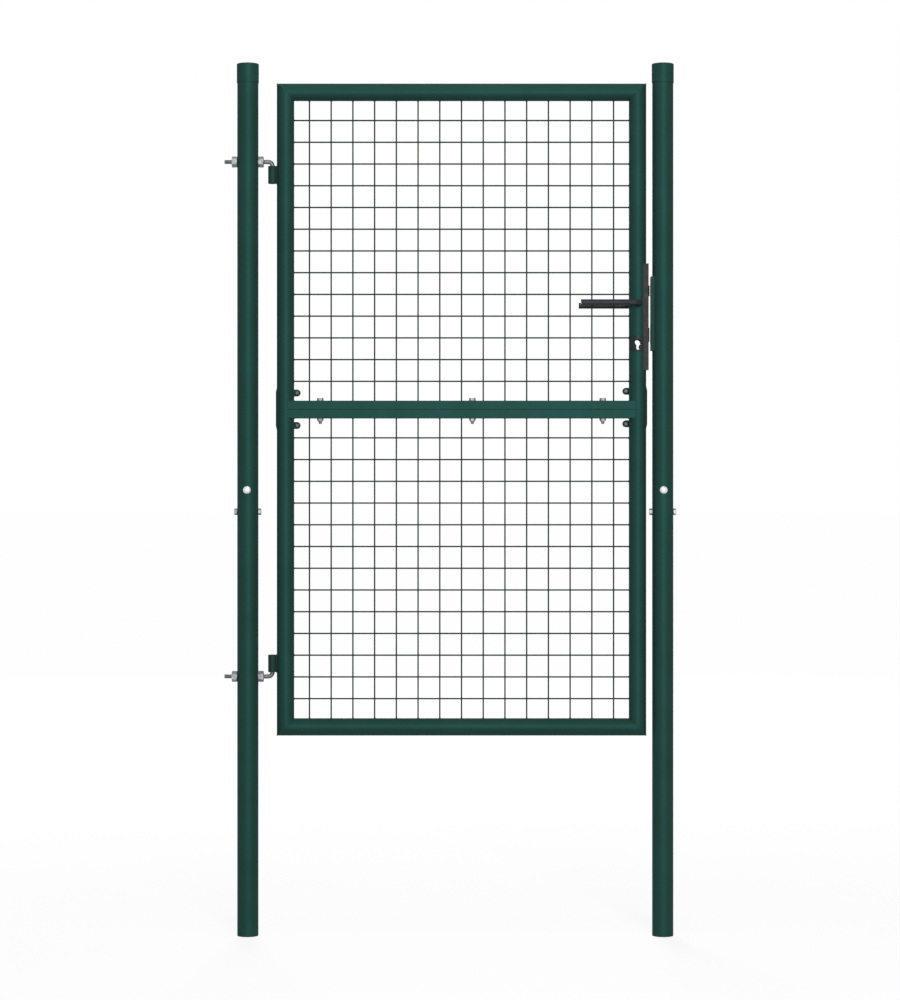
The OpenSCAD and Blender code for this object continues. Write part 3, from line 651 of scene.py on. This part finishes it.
# where the middle rails meet the stiles, above and below; span is a share of the rails' depth
railWeld = {"span": 0.86, "proud": 0.3}
hingeLow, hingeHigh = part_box("upper_hinge_stile")
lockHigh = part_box("lower_lock_stile")[1]
tubeR = (hingeHigh.y - hingeLow.y) / 2
railLow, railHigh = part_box("lower_middle_rail")[0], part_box("upper_middle_rail")[1]
reach = math.asin(railWeld["span"] * (railHigh.y - railLow.y) / 2 / tubeR)
stileX = {"hinge": hingeLow.x + tubeR, "lock": lockHigh.x - tubeR}
for side, x in stileX.items():
    middle = 0 if side == "hinge" else math.pi
    for level, z in (("upper", railHigh.z), ("lower", railLow.z)):
        roundBead(level + "_" + side + "_rail_weld", "leaf", (x, 0, z),
                  tubeR + railWeld["proud"] * mm, middle - reach, middle + reach)

# top and bottom of each hinge eye's web; reach is to either side of the middle
eyeWeld = {"fromStile": 0.2, "fromEnd": 0.4, "reach": 3.2}
seamX = hingeLow.x - eyeWeld["fromStile"] * mm
reachY = eyeWeld["reach"] * mm
inwards = eyeWeld["fromEnd"] * mm
for level in ("upper", "lower"):
    low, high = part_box(level + "_hinge_eye")
    for end, z in (("top", high.z - inwards), ("foot", low.z + inwards)):
        straightBead(level + "_eye_" + end + "_weld", "leaf",
                     (seamX, -reachY, z), (seamX, reachY, z))

# tacks along both edges of the strike plate
tackValues = {"fromTop": 26, "fromFoot": 6, "length": 20}
low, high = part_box("strike_plate")
postLow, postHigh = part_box("lock_post_lower")
postX, postR = (postLow.x + postHigh.x) / 2, (postHigh.x - postLow.x) / 2
edgeX = postX - math.sqrt(postR ** 2 - high.y ** 2)
for side, y in (("front", low.y), ("back", high.y)):
    for end, z in (("top", high.z - tackValues["fromTop"] * mm),
                   ("foot", low.z + tackValues["fromFoot"] * mm)):
        straightBead("strike_" + side + "_" + end + "_weld", "posts",
                     (edgeX, y, z), (edgeX, y, z + tackValues["length"] * mm))

# mitred corners of the leaf, ground almost flush
seamValues = {"proud": 0.35, "width": 1.1}
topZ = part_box("top_rail")[1].z - tubeR
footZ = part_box("bottom_rail")[0].z + tubeR
for name, x, z, tilt in (
    ("upper_hinge", stileX["hinge"], topZ, 45), ("upper_lock", stileX["lock"], topZ, -45),
    ("lower_hinge", stileX["hinge"], footZ, -45), ("lower_lock", stileX["lock"], footZ, 45),
):
    startFresh()
    bpy.ops.mesh.primitive_torus_add(
        major_radius=tubeR + (seamValues["proud"] - seamValues["width"]) * mm,
        minor_radius=seamValues["width"] * mm, major_segments=96, minor_segments=10,
        location=(x, 0, z), rotation=(0, math.radians(tilt), 0))
    seam = bpy.context.object
    seam.scale = (math.sqrt(2), 1, 1)  # a slanting cut through a tube is longer than it is wide
    finishPiece(seam, name + "_corner_weld", "leaf", coat, smooth=60)
print("welds made")

# mesh welds
nuggetValues = {"width": 2.4, "crossWidth": 1.9, "pitch": 50, "crossSquash": 0.8, "endSquash": 0.9}


def nuggetGrid(name, at, width, stretch, columns, rows):
    # one small squashed ball, repeated along X and up Z; columns and rows are (count, step)
    startFresh()
    bpy.ops.mesh.primitive_ico_sphere_add(subdivisions=2, radius=width * mm, location=at)
    grid = bpy.context.object
    grid.scale = stretch
    bpy.ops.object.transform_apply(location=True, rotation=False, scale=True)
    for count, step in ((columns[0], (columns[1], 0, 0)), (rows[0], (0, 0, rows[1]))):
        if count > 1:
            useModifier(grid, "ARRAY", {"count": count, "use_relative_offset": False,
                                        "use_constant_offset": True,
                                        "constant_offset_displace": step})
    return finishPiece(grid, name, "leaf", coatOnWire, smooth=60)


v = nuggetValues
pitch = v["pitch"] * mm
for level in ("upper", "lower"):
    low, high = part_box(level + "_mesh")
    columns, rows = [int((high[a] - low[a]) / pitch) for a in (0, 2)]
    firstX = (low.x + high.x) / 2 - (columns - 1) / 2 * pitch
    firstZ = (low.z + high.z) / 2 - (rows - 1) / 2 * pitch
    wireY = (high.y - low.y) / 4  # the mesh is two wires thick, and this is the middle of one
    nuggetGrid(level + "_mesh_crossings", (firstX, 0, firstZ), v["crossWidth"],
               (1, v["crossSquash"], 1), (columns, pitch), (rows, pitch))
    nuggetGrid(level + "_mesh_side_welds", (low.x, -wireY, firstZ), v["width"],
               (v["endSquash"], 1, 1), (2, high.x - low.x), (rows, pitch))
    nuggetGrid(level + "_mesh_end_welds", (firstX, wireY, low.z), v["width"],
               (1, 1, v["endSquash"]), (columns, pitch), (2, high.z - low.z))
print("mesh welds made")

# faceplate screws
# Countersunk screws with a hexagon socket, in the face of the lock
screwValues = {"head": 8, "proud": 0.5, "socket": 4, "socketDepth": 1.6, "fromEnd": 14,
               "sunk": 2.2, "taper": 0.55, "rim": 0.35, "crown": 0.15}


def socketScrew(v):
    # lies along Z with its flat top a little above the origin
    screw = cylinder(v["head"] / 2 * mm, -v["sunk"] * mm, v["proud"] * mm, sides=40)
    pick(screw, "FACE", facesDown)
    bpy.ops.transform.resize(value=(v["taper"], v["taper"], 1),
                             center_override=(0, 0, -v["sunk"] * mm))
    bpy.ops.object.mode_set(mode="OBJECT")
    pick(screw, "FACE", facesUp)
    bpy.ops.mesh.inset(thickness=v["rim"] * mm)
    bpy.ops.transform.translate(value=(0, 0, v["crown"] * mm))
    bpy.ops.object.mode_set(mode="OBJECT")
    socketR = v["socket"] / 2 / math.cos(math.radians(30)) * mm
    socket = cylinder(socketR, (v["proud"] - v["socketDepth"]) * mm,
                      (v["proud"] + v["socketDepth"]) * mm, sides=6)
    combine(screw, socket, "DIFFERENCE")
    return screw


low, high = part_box("lock_housing")
screw = socketScrew(screwValues)
fromEnd = screwValues["fromEnd"] * mm
for end, z in (("upper", high.z - fromEnd), ("lower", low.z + fromEnd)):
    made = copyTo(screw, (high.x, 0, z), (0, math.radians(90), 0))
    finishPiece(made, end + "_lock_screw", "leaf", zinc)
drop(screw)
print("screws made")

# stage and light


def seenAsWhite(tree):
    # 1 for rays from the camera, through glass or off a shiny surface, and 0 for the rest
    ray = addNode(tree, "ShaderNodeLightPath")
    shown = addNode(tree, "ShaderNodeMath", {"operation": "MAXIMUM"},
                    links={0: (ray, "Is Camera Ray"), 1: (ray, "Is Transmission Ray")})
    return addNode(tree, "ShaderNodeMath", {"operation": "MAXIMUM"},
                   links={0: (shown, 0), 1: (ray, "Is Glossy Ray")})


# round the gate the paint is pale and takes the shadow, and further off the white is nearly all glow
floorValues = {"size": 400, "middleX": 0.5, "near": 1.0, "far": 3.0, "nearPaint": "#8c8c8c",
               "farPaint": "#303030", "nearGlow": 0.83, "farGlow": 0.985}
v = floorValues
startFresh()
bpy.ops.mesh.primitive_plane_add(size=v["size"], location=(v["middleX"], 0, 0))
floor = bpy.context.object
floor.name = "floor"
floorPaint = bpy.data.materials.new("paleFloor")
floorPaint.use_nodes = True
tree = floorPaint.node_tree
tree.nodes.clear()
place = addNode(tree, "ShaderNodeTexCoord")
away = addNode(tree, "ShaderNodeVectorMath", {"operation": "LENGTH"}, links={0: (place, "Object")})
fade = remap(tree, (away, "Value"), (v["near"], v["far"]))
paint = blend(tree, (fade, "Result"), v["nearPaint"], v["farPaint"])
matt = addNode(tree, "ShaderNodeBsdfDiffuse", links={"Color": (paint, 2)})
fill = remap(tree, (fade, "Result"), after=(v["nearGlow"], v["farGlow"]))
seen = seenAsWhite(tree)
glow = addNode(tree, "ShaderNodeMath", {"operation": "MULTIPLY"},
               links={0: (seen, 0), 1: (fill, 0)})
shine = addNode(tree, "ShaderNodeEmission", links={"Strength": (glow, 0)})
both = addNode(tree, "ShaderNodeAddShader", links={0: (matt, 0), 1: (shine, 0)})
addNode(tree, "ShaderNodeOutputMaterial", links={"Surface": (both, 0)})
floor.data.materials.append(floorPaint)

# a little light from all round, and white wherever the world itself is seen
worldValues = {"ambient": 0.15, "seen": 1.0}
world = bpy.data.worlds.new("softStudio")
bpy.context.scene.world = world
world.use_nodes = True
tree = world.node_tree
tree.nodes.clear()
seen = seenAsWhite(tree)
ambient, white = [addNode(tree, "ShaderNodeBackground",
                          values={"Color": linear("#ffffff"), "Strength": strength})
                  for strength in (worldValues["ambient"], worldValues["seen"])]
mix = addNode(tree, "ShaderNodeMixShader", links={0: (seen, 0), 1: (ambient, 0), 2: (white, 0)})
addNode(tree, "ShaderNodeOutputWorld", links={"Surface": (mix, 0)})

lamps = [
    {"name": "frontLamp", "at": (1.6, -8.4, 2.0), "size": 2.8, "watts": 560},
    {"name": "backLamp", "at": (-0.4, 8.0, 3.2), "size": 3.4, "watts": 400},
    {"name": "topLamp", "at": (0.465, -0.8, 3.3), "size": 1.4, "watts": 11},
]
aim = Vector((0.465, 0, 1.0))  # the middle of the gate
for lamp in lamps:
    data = bpy.data.lights.new(lamp["name"], "AREA")
    data.shape = "SQUARE"
    data.size = lamp["size"]
    data.energy = lamp["watts"]
    made = bpy.data.objects.new(lamp["name"], data)
    made.location = lamp["at"]
    made.rotation_euler = (aim - made.location).to_track_quat("-Z", "Y").to_euler()
    bpy.context.scene.collection.objects.link(made)
print("stage and lamps set")
